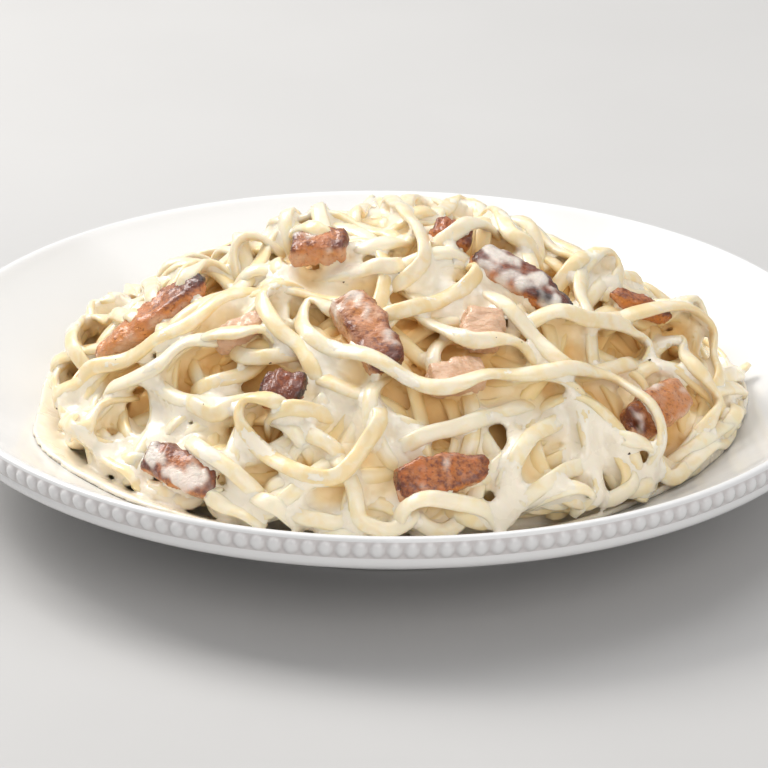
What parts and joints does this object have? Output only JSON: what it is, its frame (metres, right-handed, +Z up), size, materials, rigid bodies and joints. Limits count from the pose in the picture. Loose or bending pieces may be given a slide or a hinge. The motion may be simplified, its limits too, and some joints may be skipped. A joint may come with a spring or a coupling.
{
  "type": "fettuccine alfredo with grilled chicken",
  "caption": "Fettuccine in cream sauce with strips of grilled chicken, heaped in a deep round white plate with a beaded edge.",
  "frame": {"origin": "centre of the plate's foot ring, on the surface that the plate stands on", "axes": "+Z up, the side that the diner sees towards -Y, +X to the diner's right"},
  "size_m": [0.2822, 0.2822, 0.0864],
  "materials": {
    "porcelain": "white glazed porcelain",
    "cream_sauce": "glossy thick cream and cheese sauce",
    "pasta": "boiled egg noodles wet with cream sauce",
    "grilled_chicken": "grilled chicken, browned with charred edges and a pale inside"
  },
  "bodies": {
    "root": {"plate": "porcelain", "cream_pool": "cream_sauce", "pasta": "pasta", "chicken_left_strip": "grilled_chicken", "chicken_left_pale": "grilled_chicken", "chicken_left_small": "grilled_chicken", "chicken_front_left": "grilled_chicken", "chicken_front": "grilled_chicken", "chicken_centre": "grilled_chicken", "chicken_top_left": "grilled_chicken", "chicken_top_right": "grilled_chicken", "chicken_charred": "grilled_chicken", "chicken_pale_upper": "grilled_chicken", "chicken_pale_lower": "grilled_chicken", "chicken_right_strip": "grilled_chicken", "chicken_right_chunk": "grilled_chicken", "chicken_far_left": "grilled_chicken", "chicken_far_middle": "grilled_chicken", "chicken_far_right": "grilled_chicken", "chicken_far_low": "grilled_chicken"}
  },
  "joints": []
}
